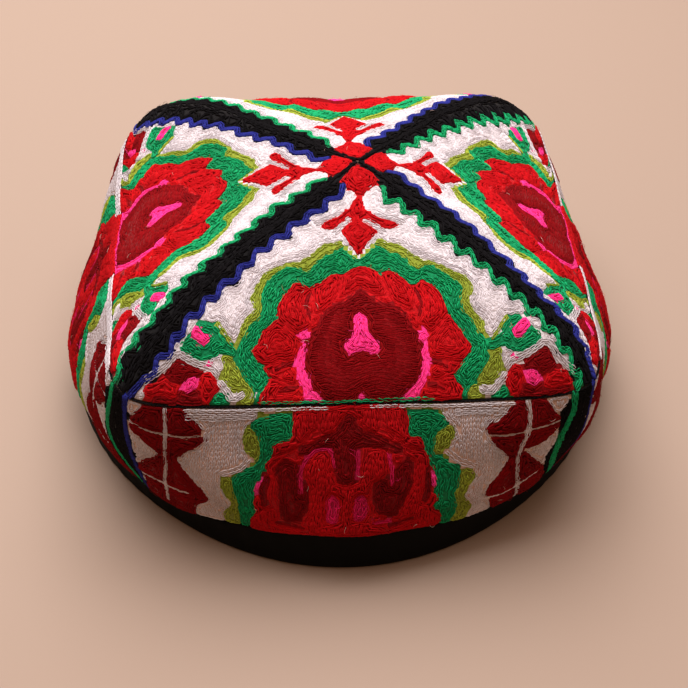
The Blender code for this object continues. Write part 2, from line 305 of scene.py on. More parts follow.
# thread, kind, sides, chart points. A filled figure is an outline, a line a path; sides is whole for a
# figure on the middle line, both for one that is mirrored, or the side that it is on.
CROWN_FIGURES = [
    ("olive", "fill", "whole", mirrored([
        (0, 38), (6.3, 31.8), (9.5, 33.4), (12.5, 34.3), (16, 38), (19.5, 40.2), (22, 40.8), (26, 43.3),
        (30, 46.8), (32.7, 50.3), (33.5, 53.5), (32.2, 55.8), (33.6, 58.5), (36.7, 61.5), (37.1, 64.5),
        (38.8, 66.8), (36, 69), (30, FOLD_DOWN)])),
    ("olive", "fill", "both", [
        (38.8, 68.6), (41.8, 69.4), (41, 73.5), (41.8, 76.3), (39.2, 79), (35.4, 80.3), (36.5, 82),
        (37, FOLD_DOWN), (31.5, FOLD_DOWN), (32, 80), (36, 74)]),
    ("green", "fill", "whole", mirrored([
        (0, 39.3), (2.8, 36.4), (5.8, 34.1), (8.5, 36), (12, 37.4), (15, 41), (17.5, 43.4), (19.4, 42.1),
        (21.3, 41.9), (26, 45.8), (29.3, 49.1), (30.6, 52.3), (30.2, 55.5), (30.4, 58), (33.5, 61),
        (35.3, 64.5), (37.6, 66.9), (38.4, 68.5), (38, 71), (35.8, 74.7), (32.8, 79.2), (31.6, 81.6),
        (32, FOLD_DOWN)])),
    ("olive", "line", "both", [(38.6, 67), (41, 64.8), (43.4, 61.4)]),
    ("green", "fill", "both", [
        (37, 67.2), (39.5, 66.9), (41.6, 65.4), (43.4, 62.6), (46.8, 61.3), (49.6, 62.5), (51.6, 65.2),
        (53.8, 67.4), (55.4, 69), (50.5, 70.9), (47.4, 71.8), (44, 70.7), (42, 69.2), (39.5, 69.6),
        (37, 70.5)]),
    ("pink", "fill", "both", [(44.7, 65), (46.3, 68.2), (51.4, 65.1), (49.5, 62.4)]),
    ("red", "fill", "whole", mirrored([
        (0, 41.8), (3, 42.3), (5.8, 44.9), (8.5, 42.3), (11.5, 45.5), (15, 49.9), (19, 46.8),
        (22.8, 50.8), (24.8, 54.3), (25.6, 58.5), (29.6, 63), (30.5, 65.4), (33, 68), (29.5, 72),
        (26.9, 76.2), (29.7, 80), (30.3, FOLD_DOWN)])),
    ("red", "fill", "whole", mirrored([(0, 41.8), (3, 42.6), (6, 44.5), (7.5, 53), (0, 51)])),
    ("red", "fill", "both", [
        (6, 44.5), (8.5, 42.7), (11.5, 45.5), (15.3, 49.5), (14.8, 57), (11, 57), (7.5, 53)]),
    ("red", "fill", "both", [
        (15.3, 49.5), (19, 47.3), (22.8, 50.8), (24.8, 54.3), (25.6, 58.5), (20, 63.5), (16.5, 62.5),
        (14.8, 57)]),
    ("red", "fill", "both", [
        (25.6, 58.5), (29.6, 63), (30.5, 65.4), (33, 68), (29.5, 72), (20, 71.5), (18.5, 65),
        (20, 63.5)]),
    ("red", "fill", "both", [(29.5, 72), (26.9, 76.2), (20.5, 78.2), (18.5, 75), (20, 71.5)]),
    ("red", "fill", "both", [
        (26.9, 76.2), (29.7, 80), (30.3, FOLD_DOWN), (15, FOLD_DOWN), (18, 79.5), (20.5, 78.2)]),
    ("dark_red", "line", "both", [(15.9, 51.3), (17.2, 54.5), (16.2, 58.6)]),
    ("dark_red", "line", "both", [(20.6, 72.4), (23, 72.6), (25.8, 74)]),
    ("dark_red", "line", "both", [(20.2, 79.4), (22, 79.2), (24.4, 80)]),
    ("dark_red", "fill", "whole", mirrored([
        (0, 49.8), (3, 52.2), (6.5, 54.6), (10.5, 55.3), (13, 57.8), (14, 61), (16.8, 63.5), (17.6, 67),
        (19, 72), (17.2, 77.5), (14, 81), (10.5, FOLD_DOWN)])),
    ("pink", "fill", "whole", mirrored([
        (0, 56.9), (2.1, 58.1), (2.2, 61.2), (3.1, 63.5), (5.3, 66.2), (5, 68.3), (3.4, 70.1),
        (1.9, 68.7), (0, 68.3)])),
    ("pink", "fill", "both", [(17.4, 61.8), (20.3, 64.2), (18, 66.7), (15.7, 64.4)]),
    ("pink", "fill", "both", [
        (18.7, 65.6), (19.6, 69.5), (20.4, 73), (19.5, 76.5), (17.5, 80.2), (17, 83.2), (14.8, 82.6),
        (12.4, FOLD_DOWN), (10.2, FOLD_DOWN), (13, 80.9), (15.6, 78.6), (17.3, 75.5), (17.9, 72.3),
        (17.5, 69.3), (17.6, 66)]),
    ("pink", "fill", "whole", mirrored([(0, 80.9), (1.7, 82), (0, 83.1)])),
    ("dark_red", "fill", "both", [
        (55.5, 71.5), (52.5, 72.4), (47.2, 74.2), (43.5, 74.8), (41.8, 78.6), (43.5, 80.5),
        (45, FOLD_DOWN), (65.5, FOLD_DOWN), (66.7, 80.5), (61.2, 78), (59.2, 75.8), (56.8, 72.3)]),
    ("red", "fill", "both", [
        (43.6, 74.9), (47.3, 74.3), (48.6, 78), (47.6, 81.5), (46.4, FOLD_DOWN), (45, FOLD_DOWN),
        (43.5, 80.5), (41.9, 78.6)]),
    ("red", "fill", "both", [
        (54.2, 79), (58.5, 77.2), (61.2, 78.1), (66.6, 80.5), (65.4, 83.2), (60, 81.6), (55, 82.3)]),
    ("pink", "fill", "both", [
        (48.9, 76.5), (51.2, 75.8), (53.5, 79.3), (52.3, 80.8), (50.1, 80.3), (48.7, 78.2)]),
    ("green", "fill", "both", [(42.8, 79.8), (45.1, FOLD_DOWN), (38.7, FOLD_DOWN), (39.7, 81.7)]),
    ("pink", "line", "both", [(45.2, 72.6), (46.4, 73.2)]),
    ("white", "chain", "both", [(42.6, 77.1), (39.9, 80.1), (38, 82.4), (35.2, 80.3)]),
    ("white", "chain", "both", [
        (42.6, 75.6), (44.3, 73.6), (47.4, 72.8), (52.4, 71.2), (55.6, 70.1), (57.8, 71.9), (60.1, 75),
        (62.2, 76.8), (66.9, 79.5)]),
    ("red", "fill", "whole", mirrored([
        (0, 0.6), (3.4, 4.5), (6.1, 8.2), (6, 10.3), (4, 11.7), (2.2, 12.9), (1.2, 14.3), (0, 14.9)])),
    ("red", "fill", "whole", mirrored([
        (0, 14.7), (1.3, 15.2), (1.6, 17), (2.7, 19.3), (4.7, 21.3), (7.5, 23.8), (10.6, 25.2),
        (12.4, 26.9), (11.6, 28.3), (8.2, 28), (5.8, 29.3), (3.7, 32), (2, 33.8), (1, 36.2), (0, 37.3)])),
    ("white", "chain", "both", [(2.3, 23.4), (4.6, 25.3), (6.4, 27.6), (8, 29.6)]),
    ("white", "chain", "both", [(5.2, 20.6), (8.2, 23.1), (11.4, 24.6), (13.6, 26.6)]),
    ("black", "fill", "left", strip_outline(BLUE_ZIGZAG)),
    ("black", "fill", "right", strip_outline(GREEN_ZIGZAG)),
    ("black", "fill", "both", beside_seam(np.linspace(0, 13, 6), np.full(6, 1)) + [(30, 12), (30, 0)]),
    ("blue", "rope", "left", BLUE_ZIGZAG),
    ("green", "rope", "right", GREEN_ZIGZAG),
]
BAND_SHIFT = -3.0            # the band's figures sit this far to the left of the crown's
STRIP_LEFT = [
    (71.2, FOLD_DOWN), (70.2, 87.5), (68.4, 90), (69.3, 92), (69.2, 96), (68.9, 104), (68.6, 109),
    (70.4, 114), (71.2, 118), (74, 124), (76.5, 131)]
STRIP_RIGHT = [
    (67.6, FOLD_DOWN), (67, 86.8), (63.4, 90.2), (64.8, 92.5), (64, 96), (63.5, 101), (62.8, 110),
    (65, 115), (67.5, 120), (70.5, 125), (73, 131)]
BAND_FIGURES = [
    ("olive", "fill", "whole", mirrored([
        (0, 85.4), (16.5, 85.4), (27.2, 85.6), (27.5, 88.8), (30.3, 90), (31, 94), (30.2, 98.4),
        (27.4, 100.4), (30, 103.2), (31.8, 104.8), (35.9, 106.7), (37.2, 110), (36.4, 114), (34.9, 116.8),
        (36.8, 120), (38.4, 123), (39, 132), (0, 132)])),
    ("green", "fill", "whole", mirrored([
        (0, 86.2), (16.5, 86.2), (25.8, 86.6), (29.2, 89), (29.4, 90.4), (27, 92.4), (25.5, 95.5),
        (25.2, 99.6), (26.4, 102), (31.5, 104.6), (33.4, 106.5), (33.2, 112), (32, 116), (33.4, 119.5),
        (33.2, 132), (0, 132)])),
    ("red", "fill", "whole", mirrored([
        (0, FOLD_DOWN), (16.6, FOLD_DOWN), (16.8, 94.5), (21, 95.3), (22, 99.5), (23.6, 102.5),
        (25, 105.5), (26.5, 109), (26.2, 113), (27.1, 117.5), (25.8, 120), (29, 123.5), (30, 128),
        (29, 132), (0, 132)])),
    ("red", "fill", "both", [
        (16.6, 85), (16.8, 94.5), (21, 95.3), (22, 99.5), (17, 99), (12.5, 94), (9, 91.5), (9, 85)]),
    ("dark_red", "fill", "whole", mirrored([
        (0, 86.5), (2.2, 88.5), (3, 92.6), (8, 94), (13, 96.5), (15.6, 99.6), (13.8, 100.6), (10.5, 98),
        (4.4, 97.4), (4, 103), (3.4, 109.4), (0, 110.6)])),
    ("dark_red", "fill", "left", [
        (12.4, 108), (14.8, 103.4), (18.4, 100.4), (21, 103.4), (20.8, 111.5), (19.6, 118), (18.6, 124),
        (13.4, 124.6), (11.4, 120), (11.2, 112)]),
    ("dark_red", "fill", "right", [
        (7.2, 109.4), (11, 108), (13.4, 104), (15.8, 100.8), (18.6, 103), (19, 111.5), (17, 117.4),
        (16.2, 123.4), (8.4, 123), (7, 116)]),
    ("dark_red", "fill", "both", [(22.8, 104.6), (24.6, 106), (25.2, 111), (24.4, 118), (22.4, 118)]),
    ("dark_red", "line", "both", [(21, 124.6), (16, 125.6), (12.6, 127)]),
    ("rose", "line", "left", [
        (4.6, 104.5), (4.7, 99.6), (6.6, 98.1), (10.4, 98.5), (12.2, 100.8), (13.5, 104), (13.9, 108),
        (13.5, 113.6)]),
    ("rose", "line", "right", [(3, 108), (3.1, 103), (3.2, 99.2)]),
    ("rose", "line", "right", [(11, 100.2), (12.1, 104), (12.5, 111.6)]),
    ("rose", "fill", "both", [
        (1.8, 115.6), (4.4, 113.6), (6, 116), (6.2, 121.4), (5, 124.6), (2, 124.2)]),
    ("rose", "line", "right", [(8, 125.6), (12.5, 125)]),
    ("pink", "fill", "both", [(24.6, 106.4), (26.4, 108.6), (27, 111.4), (26.2, 114.4), (25.1, 110.6)]),
    ("dark_red", "fill", "left", [
        (48.5, FOLD_DOWN), (45.5, 87), (43, 89.5), (42, 94), (44, 97), (47, 99.4), (50.4, 103), (49, 106),
        (46, 110), (43.5, 113), (42.5, 118), (44, 121), (48, 125), (50, 132), (69, 132), (70, 127),
        (67, 121.5), (69.8, 117), (68, 112.5), (64.5, 109.5), (60.5, 106), (57.2, 103.2), (62, 99.6),
        (66, 97), (69, 94.5), (69.5, 92), (67, 89.5), (62, FOLD_DOWN)]),
    ("dark_red", "fill", "right", [
        (48.5, FOLD_DOWN), (45, 88), (41, 90.6), (39.8, 93), (41.4, 97), (45, 101), (48.4, 105),
        (48, 107.4), (45.4, 110.5), (43.4, 114), (42.2, 118), (44.4, 122), (49, 129), (50, 132),
        (73, 132), (69.6, 124), (65.6, 117), (61.5, 112.5), (57, 108), (53.2, 103.8), (58, 101),
        (62.5, 97.6), (64.6, 93), (62.8, 90), (60.5, 87.5), (58.6, FOLD_DOWN)]),
    ("white", "thin", "left", [(69, 92.4), (60, 93.4), (54, 93.2), (48, 94), (43, 92.8)]),
    ("white", "line", "left", [(68.6, 118), (62, 117), (56, 117.6), (48, 117.2)]),
    ("white", "thin", "right", [(41, 94.8), (47, 95.8), (53, 95), (58, 94), (64, 93.2)]),
    ("white", "line", "right", [(43, 121.4), (48, 121.8), (55, 120.2), (63.4, 117.6)]),
    ("white", "plait", "left", [
        (55.2, 84.6), (54.2, 89), (54, 95), (54.5, 100), (55, 105), (55.6, 110), (57, 115), (58, 120),
        (59.4, 127)]),
    ("white", "plait", "right", [
        (53, 84.6), (53.6, 88), (52.6, 95), (52, 100), (51.6, 105), (52.2, 110), (53.6, 115), (55.6, 120),
        (57.2, 125), (59.2, 130)]),
    ("white", "line", "both", [(48.2, 85), (45, 87.8), (42, 90.6)]),
    ("white", "line", "both", [(28.4, 100.6), (30.6, 103.6), (32.6, 105), (36.4, 106.4)]),
    ("black", "fill", "left", STRIP_LEFT + [(90, 132), (90, FOLD_DOWN)]),
    ("black", "fill", "right", STRIP_RIGHT + [(90, 132), (90, FOLD_DOWN)]),
    ("blue", "broad", "left", [
        (71.2, FOLD_DOWN), (71.5, 92), (71, 99), (70.8, 104), (71.2, 111), (70.6, 118), (70.6, 130)]),
    ("green", "broad", "right", [
        (69.6, FOLD_DOWN), (69.4, 90), (67.4, 96), (65.8, 100), (65.3, 105), (66.2, 110), (68.7, 115),
        (72, 121), (76, 129)]),
]
# mm wide; a figure's edge wavers by up to WOBBLE
LINE_WIDTHS = {"thin": 1.0, "line": 1.3, "chain": 1.7, "plait": 1.3, "rope": 1.8, "broad": 2.7}
WOBBLE = 0.20
UNEVEN_ACROSS = WOBBLE * soft_waves(3, 14, 3, 9, ACROSS, DEPTH)
UNEVEN_DEPTH = WOBBLE * soft_waves(4, 14, 3, 9, ACROSS, DEPTH)


def figure_depth(kind, sides, points, shift):
    """Depth of each chart place in a figure: inside its outline, or half a line's width less its distance.

    An outline's edge wavers, by the uneven shift of every place.
    """
    across, down = ACROSS - shift, DEPTH
    if kind == "fill":
        across, down = across + UNEVEN_ACROSS, down + UNEVEN_DEPTH
    if sides == "both":
        across = np.abs(across)
    if sides == "left":
        across = -across
    if kind == "fill":
        return inside_of(points, across, down)
    return LINE_WIDTHS[kind] / 2 - distance_to(points, across, down)


# Depths are the fields that the rows of stitches follow: a row lies where the depth inside its own figure,
# and clear of every later figure, the seams, the fold and the foot, is n + 1/2 rows.
FOLD_MARGIN = 0.5            # room for the fold cord
FOOT_MARGIN = 0.6            # the rows run this far under the binding
OUTSIDE = -9.0               # depth of a figure where it can't reach
CLEAR = np.minimum(seam_inset(ACROSS, DEPTH), np.abs(DEPTH - FOLD_DOWN) - FOLD_MARGIN)
CLEAR = np.minimum(CLEAR, FOOT_DOWN + FOOT_MARGIN - DEPTH)
figures = [("white", "fill", "whole", None, CLEAR, 0.0)]
for drawn, here, shift in ((CROWN_FIGURES, ON_CROWN, 0.0), (BAND_FIGURES, ~ON_CROWN, BAND_SHIFT)):
    for thread, kind, sides, points in drawn:
        depth = np.where(here, figure_depth(kind, sides, points, shift), OUTSIDE)
        figures.append((thread, kind, sides, points, depth, shift))
depths = []
for thread, kind, sides, points, depth, shift in figures:
    depths = [np.minimum(earlier, -depth) for earlier in depths] + [np.minimum(depth, CLEAR)]
depths = np.array(depths)
top_depth = depths.max(axis=0)
thread_of = np.array([figure[0] for figure in figures])[depths.argmax(axis=0)]


def read_chart(field, across, down):
    """Value of a chart field between its grid points, by bilinear mixing."""
    column = np.clip((across - across_line[0]) / GRID, 0, len(across_line) - 1.001)
    row = np.clip((down - down_line[0]) / GRID, 0, len(down_line) - 1.001)
    i, j = column.astype(int), row.astype(int)
    u, v = column - i, row - j
    return ((field[j, i] * (1 - u) + field[j, i + 1] * u) * (1 - v)
            + (field[j + 1, i] * (1 - u) + field[j + 1, i + 1] * u) * v)


def srgb(code):
    """Linear colour of an sRGB hex value such as c8102e."""
    parts = np.array([int(code[i:i + 2], 16) / 255 for i in (0, 2, 4)])
    linear = np.where(parts <= 0.04045, parts / 12.92, ((parts + 0.055) / 1.055) ** 2.4)
    return (*linear.tolist(), 1.0)


# Each thread's sRGB colour, the height of a figure's middle over its edge, and the cloth under it: its share
# of the colour, which darkens it into a painted shade between the loops, and how far it lies below the
# stitches' middles, which is less than nothing in thick wool
THREADS = {
    "white": ("dad2d6", 0.15, 0.97, -0.12),
    "olive": ("a1b13c", 0.35, 0.70, 0.04),
    "green": ("14a466", 0.35, 0.62, 0.06),
    "red": ("bc0d15", 0.9, 1.00, -0.34),
    "dark_red": ("83060d", 0.6, 1.00, -0.34),
    "pink": ("fc3c94", 0.7, 1.00, -0.20),
    "rose": ("d81c58", 0.7, 0.95, -0.16),
    "blue": ("2a2f84", 0.3, 0.70, 0.0),
    "black": ("0f0d0f", 0.6, 0.90, -0.12),
}
ROUNDING = 1.6               # in from a figure's edge, over which it rises
rise = np.zeros_like(top_depth)
ground_rise = np.zeros_like(top_depth)
shaded_ground_colour = np.zeros(top_depth.shape + (4,))
for thread, (code, height, share, below) in THREADS.items():
    here = thread_of == thread
    rise[here] = (height * (1 - np.exp(-np.maximum(top_depth, 0) / ROUNDING)))[here]
    ground_rise[here] = rise[here] - below
    # The cloth takes the thread's colour times its share, a painted shade in the gaps between the loops.
    shaded_ground_colour[here] = np.array(srgb(code)) * share
# The band's rows are worked looser and gape. The cloth under them is darkened, and under the white made
# pinkish brown, a painted shade: the band faces away from the light and takes warm light off the floor.
BAND_CLOTH_PAINTED_SHADE = 0.75
BAND_GAP = 0.13
band_white = (thread_of == "white") & ~ON_CROWN
shaded_ground_colour[~ON_CROWN] *= BAND_CLOTH_PAINTED_SHADE
shaded_ground_colour[band_white] = srgb("c9aa9c")
ground_rise[band_white] -= BAND_GAP
# The cloth lies as low as the lowest place round about, so that it never rises through the stitches.
for axis in (0, 1):
    ground_rise = np.minimum.reduce([np.roll(ground_rise, step, axis) for step in range(-3, 4)])


# Gores and panels
# Four gores and four panels of quilted cotton, each a closed wall, sewn to the next along its seam edges.
# Outside, the cloth has the colour of the thread that hides it, darkened as a painted shade between the
# loops; inside it is plain cotton lining.
MM = 0.001
QUARTERS = ("right", "back", "left", "front")
CLOTH = 2.3                  # thickness
CLOTH_STEP = 1.75            # between the points of the cloth's grid
SEAM_GAP = 0.3
CORD_SLOT = 0.5              # from the fold to the cloth's edge, for the cord
FIRST_DOWN = 0.6             # the gores start this far from the apex
CLOTH_TUCK = 1.5             # the panels end this far under the binding
LINT = 0.7                   # mottle of the worn cloth; real lint is finer, too fine to show
LINING = "6e5a4e"


def add_node(tree, kind, settings=None, **links):
    """New node of a kind, its properties set, and each named input set to a value or linked to a socket."""
    node = tree.nodes.new(kind)
    for name, value in (settings or {}).items():
        setattr(node, name, value)
    for name, value in links.items():
        key = int(name[1:]) if name[1:].isdigit() else name.replace("_", " ")
        if isinstance(value, bpy.types.NodeSocket):
            tree.links.new(value, node.inputs[key])
        else:
            node.inputs[key].default_value = value
    return node


def new_cloth(name, roughness, sheen):
    """Material of a fibre: a Principled shader with no metal, an IOR of 1.5 and the sheen of loose hairs."""
    material = bpy.data.materials.new(name)
    material.use_nodes = True
    shader = material.node_tree.nodes["Principled BSDF"]
    shader.inputs["Roughness"].default_value = roughness
    shader.inputs["IOR"].default_value = 1.5
    shader.inputs["Specular IOR Level"].default_value = 0.12
    shader.inputs["Sheen Weight"].default_value = sheen
    shader.inputs["Sheen Roughness"].default_value = 0.5
    return material, shader


def add_piece(name, points, faces, materials, replaced=(), face_material=None, values=None):
    """Mesh object from arrays of points in mm and faces of one size, riding on the cap's body.

    Faces are rows of point numbers; face_material gives each one's place in materials, and values are named
    attributes, one number or one colour for each point or face.
    """
    mesh = bpy.data.meshes.new(name)
    count, size = faces.shape
    mesh.vertices.add(len(points))
    mesh.vertices.foreach_set("co", (points * MM).astype(np.float32).ravel())
    mesh.loops.add(count * size)
    mesh.loops.foreach_set("vertex_index", faces.astype(np.int32).ravel())
    mesh.polygons.add(count)
    mesh.polygons.foreach_set("loop_start", np.arange(0, count * size, size, dtype=np.int32))
    if face_material is not None:
        mesh.polygons.foreach_set("material_index", face_material.astype(np.int32))
    mesh.update(calc_edges=True)
    for material in materials:
        mesh.materials.append(material)
    for label, numbers in (values or {}).items():
        kind, field = ("FLOAT_COLOR", "color") if numbers.ndim == 2 else ("FLOAT", "value")
        domain = "POINT" if len(numbers) == len(points) else "FACE"
        attribute = mesh.attributes.new(label, kind, domain)
        attribute.data.foreach_set(field, numbers.astype(np.float32).ravel())
    mesh.polygons.foreach_set("use_smooth", np.ones(count, bool))
    mesh.validate()
    piece = bpy.data.objects.new(name, mesh)
    bpy.context.scene.collection.objects.link(piece)
    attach(piece, "root")
    if replaced:
        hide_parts(*replaced)
    return piece


def wall_faces(rows, columns):
    """Faces of a closed wall: an outer and an inner grid of points, and a strip all round its edge."""
    number = np.arange(rows * columns).reshape(rows, columns)
    corners = (number[:-1, :-1], number[1:, :-1], number[1:, 1:], number[:-1, 1:])
    sheet = np.stack(corners, axis=-1).reshape(-1, 4)
    rim = np.concatenate([number[0, :-1], number[:-1, -1], number[-1, :0:-1], number[:0:-1, 0]])
    ahead = np.roll(rim, -1)
    under = rows * columns
    strip = np.stack([rim, ahead, ahead + under, rim + under], axis=-1)
    return np.concatenate([sheet, sheet[:, ::-1] + under, strip])


def chart_number(places, line):
    """Number of the chart's grid line that is nearest to each place."""
    return np.clip(np.rint((places - line[0]) / GRID).astype(int), 0, len(line) - 1)


def cloth_wall(quarter, lowest, highest):
    """Outer and inner points of a gore or a panel between two depths of the chart, seam to seam."""
    rows = int((highest - lowest) / CLOTH_STEP) + 2
    down = np.linspace(lowest, highest, rows)[:, None]
    seam = np.interp(down, SEAM_DOWN, SEAM_ACROSS)
    columns = int(2 * seam.max() / CLOTH_STEP) + 2
    across = np.linspace(-1, 1, columns)[None, :] * (seam - SEAM_GAP / 2 * math.sqrt(2))
    down = np.broadcast_to(down, across.shape)
    outer, _ = on_cloth(quarter, across, down, read_chart(ground_rise, across, down))
    inner, _ = on_cloth(quarter, across, down, np.full_like(across, -CLOTH))
    points = np.concatenate([outer.reshape(-1, 3), inner.reshape(-1, 3)])
    faces = wall_faces(*across.shape)
    middle_across, middle_down = ((line[:-1, :-1] + line[1:, 1:]) / 2 for line in (across, down))
    dye_and_painted_light = shaded_ground_colour[chart_number(middle_down, down_line), chart_number(middle_across, across_line)]
    dye_and_painted_light = dye_and_painted_light.reshape(-1, 4)
    material = (np.arange(len(faces)) >= len(dye_and_painted_light)).astype(int)
    dye_and_painted_light = np.concatenate([dye_and_painted_light, np.tile(srgb(LINING), (len(faces) - len(dye_and_painted_light), 1))])
    return points, faces, material, dye_and_painted_light


# The cotton under the stitches gives the eye no gloss, only the thread's colour, darkened as a painted shade
# between the loops, and mottled by its lint.
ground, ground_shader = new_cloth("quilted_cotton_under_stitches", 0.9, 0.1)
tree = ground.node_tree
dye_and_painted_light = add_node(tree, "ShaderNodeAttribute", {"attribute_name": "dye_and_painted_light"})
where = add_node(tree, "ShaderNodeTexCoord")
lint = add_node(tree, "ShaderNodeTexNoise", Vector=where.outputs["Object"], Scale=1 / (LINT * MM),
                Detail=3.0)
worn = add_node(tree, "ShaderNodeMapRange", Value=lint.outputs["Fac"], From_Min=0.35, From_Max=0.65,
                To_Min=0.7, To_Max=1.15)
dyed = add_node(tree, "ShaderNodeVectorMath", {"operation": "SCALE"}, Vector=dye_and_painted_light.outputs["Color"],
                Scale=worn.outputs[0])
bump = add_node(tree, "ShaderNodeBump", Strength=0.8, Distance=0.3 * MM, Height=lint.outputs["Fac"])
tree.links.new(dyed.outputs[0], ground_shader.inputs["Base Color"])
tree.links.new(bump.outputs[0], ground_shader.inputs["Normal"])
# The lining is plain woven cotton, an even matt brown.
lining, lining_shader = new_cloth("plain_woven_cotton_lining", 0.85, 0.15)
lining_shader.inputs["Base Color"].default_value = srgb(LINING)

for quarter, side in enumerate(QUARTERS):
    for part, node, lowest, highest in (
            ("crown", f"crown_gore_{side}", FIRST_DOWN, FOLD_DOWN - CORD_SLOT),
            ("band", f"band_panel_{side}", FOLD_DOWN + CORD_SLOT, FOOT_DOWN + CLOTH_TUCK)):
        points, faces, material, dye_and_painted_light = cloth_wall(quarter, lowest, highest)
        add_piece(f"{part}_cloth_{side}", points, faces, (ground, lining), (node,),
                  material, {"dye_and_painted_light": dye_and_painted_light})


# Chain stitches
# All of the embroidery is chain stitch worked with a hook: one loop of thread drawn up through the last,
# row beside row along each figure's edge. White, olive and green are smooth cotton; the rest is soft wool,
# whose loops hide in its fluff. Rows are a little coarser than real ones, which are too fine to show.
def crossings(field, spacing):
    """Pieces of row in every grid cell that a row passes: a row lies where field / spacing is n + 1/2.

    Marching squares on whole arrays. A piece runs with the higher ground on its left, and is known by the
    two grid edges that it joins, so that pieces can be strung together afterwards.
    """
    rank = field / spacing - 0.5
    step = np.floor(rank)
    corners = (step[:-1, :-1], step[:-1, 1:], step[1:, 1:], step[1:, :-1])
    high = np.maximum.reduce(corners)
    low = np.minimum.reduce(corners)
    case = sum((corner == high) * bit for corner, bit in zip(corners, (1, 2, 4, 8)))
    case = np.where((high > low) & (high >= 0), case, 0)
    # grid edges of a cell: 0 near, 1 right, 2 far, 3 left; each case joins a start edge to an end edge
    joins = {1: [(0, 3)], 2: [(1, 0)], 3: [(1, 3)], 4: [(2, 1)], 5: [(0, 3), (2, 1)], 6: [(2, 0)],
             7: [(2, 3)], 8: [(3, 2)], 9: [(0, 2)], 10: [(1, 0), (3, 2)], 11: [(1, 2)], 12: [(3, 1)],
             13: [(0, 1)], 14: [(3, 0)]}
    rows, columns = field.shape
    starts, ends = [], []
    for number, pairs in joins.items():
        j, i = np.nonzero(case == number)
        edges = (j * columns + i, rows * columns + j * columns + i + 1,
                 (j + 1) * columns + i, rows * columns + j * columns + i)
        for start, end in pairs:
            starts.append(edges[start])
            ends.append(edges[end])
    return np.concatenate(starts), np.concatenate(ends), rank


def crossing_places(edge, rank):
    """Chart place where a row crosses a grid edge, by the share of the way between the edge's two ends."""
    rows, columns = rank.shape
    upright = edge >= rows * columns
    number = edge % (rows * columns)
    j, i = number // columns, number % columns
    near = rank[j, i]
    far = rank[np.where(upright, j + 1, j), np.where(upright, i, i + 1)]
    level = np.maximum(np.floor(near), np.floor(far))
    share = (level - near) / np.where(far == near, 1, far - near)
    return across_line[i] + GRID * share * ~upright, down_line[j] + GRID * share * upright


def string_rows(start, end):
    """The piece of row before each one, found by doubling jumps, and how many doublings reach a row's end.

    A row's first piece has none before it, which is said by a number past the last. A ring has no first
    piece, so it is cut before its lowest-numbered one.
    """
    count = len(start)
    holder = np.full(max(start.max(), end.max()) + 1, count)
    holder[start] = np.arange(count)
    ahead = np.append(holder[end], count)
    doublings = int(math.ceil(math.log2(count + 1))) + 1
    lowest, jump = np.arange(count + 1), ahead.copy()
    for _ in range(doublings):
        lowest = np.minimum(lowest, lowest[jump])
        jump = jump[jump]
    cut = (jump[:count] != count) & (lowest[:count] == np.arange(count))
    behind = np.full(count + 1, count)
    behind[ahead[:count]] = np.arange(count)
    behind[count] = count
    behind[:count][cut] = count
    return behind, doublings


def stitches_along(field, spacing, length, keep=None):
    """Chain stitches of about a length on every row of a field: their start and end places on the chart.

    Each row's length is summed piece by piece, and a whole number of stitches is marked off along it. Where
    keep is given, only the pieces of row on places where it is above nought are worked.
    """
    start, end, rank = crossings(field, spacing)
    a, d = crossing_places(start, rank)
    b, e = crossing_places(end, rank)
    if keep is not None:
        kept = read_chart(keep, (a + b) / 2, (d + e) / 2) > 0
        start, end, a, d, b, e = (values[kept] for values in (start, end, a, d, b, e))
    if not len(start):
        return np.zeros((4, 0))
    behind, doublings = string_rows(start, end)
    count = len(start)
    reach = np.append(np.hypot(b - a, e - d), 0)
    gone, jump = reach[behind], behind.copy()
    first = np.where(behind == count, np.arange(count + 1), behind)
    for _ in range(doublings):
        gone = gone + gone[jump]
        jump = jump[jump]
        first = first[first]
    first, gone, reach = first[:count], gone[:count], reach[:count]
    whole = np.bincount(first, reach, minlength=count)
    pitch = whole / np.maximum(np.rint(whole / length), 1)
    ticks_before = np.ceil(gone / pitch[first] - 1e-9)
    has_tick = ticks_before < (gone + reach) / pitch[first] - 1e-9
    share = (ticks_before * pitch[first] - gone) / np.maximum(reach, 1e-9)
    order = np.lexsort((ticks_before[has_tick], first[has_tick]))
    row = first[has_tick][order]
    across = (a + (b - a) * share)[has_tick][order]
    down = (d + (e - d) * share)[has_tick][order]
    tail = np.ones(count, bool)
    tail[behind[:count][behind[:count] < count]] = False
    tail_across, tail_down = np.zeros(count), np.zeros(count)
    tail_across[first[tail]] = b[tail]
    tail_down[first[tail]] = e[tail]
    last = np.append(row[1:] != row[:-1], True)
    ahead_across = np.where(last, tail_across[row], np.append(across[1:], 0))
    ahead_down = np.where(last, tail_down[row], np.append(down[1:], 0))
    return np.stack([across, down, ahead_across, ahead_down])[:, whole[row] > 0.6 * length]


def stitches_on_path(points, length, offset=0.0):
    """Chain stitches along a drawn path, moved sideways by an offset."""
    corners = np.array(points, float)
    reach = np.append(0, np.cumsum(np.hypot(*np.diff(corners, axis=0).T)))
    ticks = np.linspace(0, reach[-1], max(int(round(reach[-1] / length)), 1) + 1)
    fine = np.linspace(0, reach[-1], 12 * len(ticks))
    path = np.stack([np.interp(fine, reach, corners[:, k]) for k in (0, 1)])
    way = np.gradient(path, axis=1)
    way = way / np.hypot(*way)
    path = path + offset * np.stack([-way[1], way[0]])
    across, down = (np.interp(ticks, fine, line) for line in path)
    return np.stack([across[:-1], down[:-1], across[1:], down[1:]])


